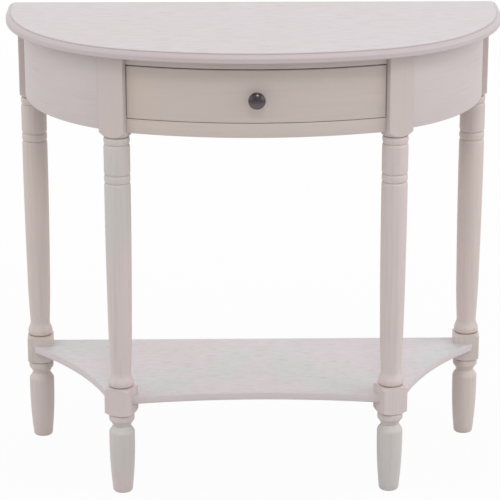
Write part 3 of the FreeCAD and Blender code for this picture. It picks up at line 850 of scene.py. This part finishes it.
def domed_knob():
    low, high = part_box("drawer_knob")
    middle = Vector((0, 0, (low.z + high.z) / 2))
    bm = bmesh.new()
    verts = [bm.verts.new((radius, high.y - out, middle.z)) for radius, out in knob_line(high.y - low.y)]
    edges = [bm.edges.new(pair) for pair in zip(verts, verts[1:])]
    bmesh.ops.spin(
        bm, geom=verts + edges, cent=middle, axis=REARWARD, angle=2 * math.pi,
        steps=KNOB_SEGMENTS, use_merge=True,
    )
    set_piece(bm, "domed_knob", "drawer", "dark_metal", knob_metal, "drawer_knob")


def dress(material, *nodes):
    """Give carried-over nodes their finish."""
    for node in nodes:
        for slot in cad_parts[node].material_slots:
            slot.material = material


moulded_top()
for side, hand in (("right", 1), ("left", -1)):
    side_apron(side, hand)
    rear_place = Vector((rear_leg.x * hand, rear_leg.y, 0))
    front_place = Vector((front_leg.x * hand, front_leg.y, 0))
    turned_leg("leg_rear_" + side, rear_place, 0, rear_leg_paint)
    turned_leg("leg_front_" + side, front_place, FRONT_LEG_TURN * hand, leg_paint)
bowed_front("upper_front_rail", "bowed_upper_rail", "table", RAIL_THICKNESS)
bowed_front("lower_front_rail", "bowed_lower_rail", "table", RAIL_THICKNESS)
bowed_front(
    "drawer_front", "bowed_drawer_front", "drawer", DRAWER_FRONT_THICKNESS,
    gap=DRAWER_SIDE_GAP, foot=DRAWER_FOOT,
)
hollow_shelf()
domed_knob()
dress(apron_paint, "apron_back")
dress(wood_x, "drawer_back", "drawer_bottom", "back_apron_tenons", "rail_tenons")
dress(wood_y, "drawer_side_left", "drawer_side_right", "drawer_runner_left", "drawer_runner_right")
dress(wood_y, "drawer_kicker_left", "drawer_kicker_right", "drawer_stop_left", "drawer_stop_right")
dress(wood_z, "top_block_left", "top_block_right", "side_apron_tenons")
dress(screw_metal, "knob_screw")


# Floor, light and camera
WHITE = (1, 1, 1, 1)
FLOOR_SIZE = 30.0
FLOOR_COVER = (0.60, 0.60, 0.60, 1)
FLOOR_GLOW_SHARE = 0.95
FILL_TINT = (1, 0.975, 0.955, 1)
FILL_STRENGTH = 0.85
LAMP_TINT = (0.975, 0.985, 1.0)
LAMP_AIM = Vector((0, 0, 0.4))
CAMERA_PLACE = (-0.0660, -3.7904, 1.6718)
CAMERA_DEGREES = (70.570, -0.166, -1.388)
CAMERA_LENS = 178.05
CAMERA_SENSOR = 36
CAMERA_SHIFT = (-0.0468, 0.0535)
CAMERA_REACH = 50


def seen_directly(start):
    """1 for rays that show the background: straight from the camera, mirrored or through glass."""
    camera_ray = start.make("LightPath", {}, output="Is Camera Ray")
    glossy_ray = start.make("LightPath", {}, output="Is Glossy Ray")
    clear_ray = start.make("LightPath", {}, output="Is Transmission Ray")
    return start.maths("MINIMUM", camera_ray + glossy_ray + clear_ray, 1.0)


def pale_floor():
    material, start = new_finish("pale_floor")
    cover = start.make("BsdfDiffuse", {"Color": FLOOR_COVER})
    glow = start.make("Emission", {"Color": WHITE, "Strength": 1.0})
    share = seen_directly(start) * FLOOR_GLOW_SHARE
    start.make("OutputMaterial", {"Surface": start.make("MixShader", {0: share, 1: cover, 2: glow})})
    bm = bmesh.new()
    bmesh.ops.create_grid(bm, x_segments=1, y_segments=1, size=FLOOR_SIZE)
    mesh = bpy.data.meshes.new("floor")
    bm.to_mesh(mesh)
    bm.free()
    mesh.materials.append(material)
    floor = bpy.data.objects.new("floor", mesh)
    bpy.context.scene.collection.objects.link(floor)


def white_surround():
    world = bpy.data.worlds.new("surround")
    world.use_nodes = True
    world.node_tree.nodes.clear()
    bpy.context.scene.world = world
    start = Wire(world.node_tree)
    fill = start.make("Background", {"Color": FILL_TINT, "Strength": FILL_STRENGTH})
    white = start.make("Background", {"Color": WHITE, "Strength": 1.0})
    sky = start.make("MixShader", {0: seen_directly(start), 1: fill, 2: white})
    start.make("OutputWorld", {"Surface": sky})


def soft_box(name, place, size, power, gloss=True, diffuse=True):
    """Round lamp aimed at the table; gloss and diffuse say which kinds of reflection it shows in."""
    lamp = bpy.data.lights.new(name, "AREA")
    lamp.shape = "DISK"
    lamp.size = size
    lamp.energy = power
    lamp.color = LAMP_TINT
    holder = bpy.data.objects.new(name, lamp)
    bpy.context.scene.collection.objects.link(holder)
    holder.visible_glossy = gloss
    holder.visible_diffuse = diffuse
    holder.location = place
    holder.rotation_euler = (LAMP_AIM - Vector(place)).to_track_quat("-Z", "Y").to_euler()


def camera():
    view = bpy.data.cameras.new("camera")
    view.lens = CAMERA_LENS
    view.sensor_width = CAMERA_SENSOR
    view.shift_x, view.shift_y = CAMERA_SHIFT
    view.clip_end = CAMERA_REACH
    holder = bpy.data.objects.new("camera", view)
    bpy.context.scene.collection.objects.link(holder)
    holder.location = CAMERA_PLACE
    holder.rotation_euler = [math.radians(angle) for angle in CAMERA_DEGREES]
    bpy.context.scene.camera = holder


pale_floor()
white_surround()
soft_box("left", place=(-3.0, -0.5, 1.9), size=3.2, power=21)
soft_box("right", place=(3.0, -0.6, 1.9), size=3.2, power=33)
soft_box("front", place=(0.2, -2.7, 3.4), size=0.8, power=17, gloss=False)
soft_box("rear", place=(0.0, 3.8, 1.7), size=2.4, power=50, gloss=False)
soft_box("glint", place=(0.45, -1.65, 3.6), size=0.8, power=40, diffuse=False)
camera()
bpy.context.scene.view_settings.view_transform = "Standard"
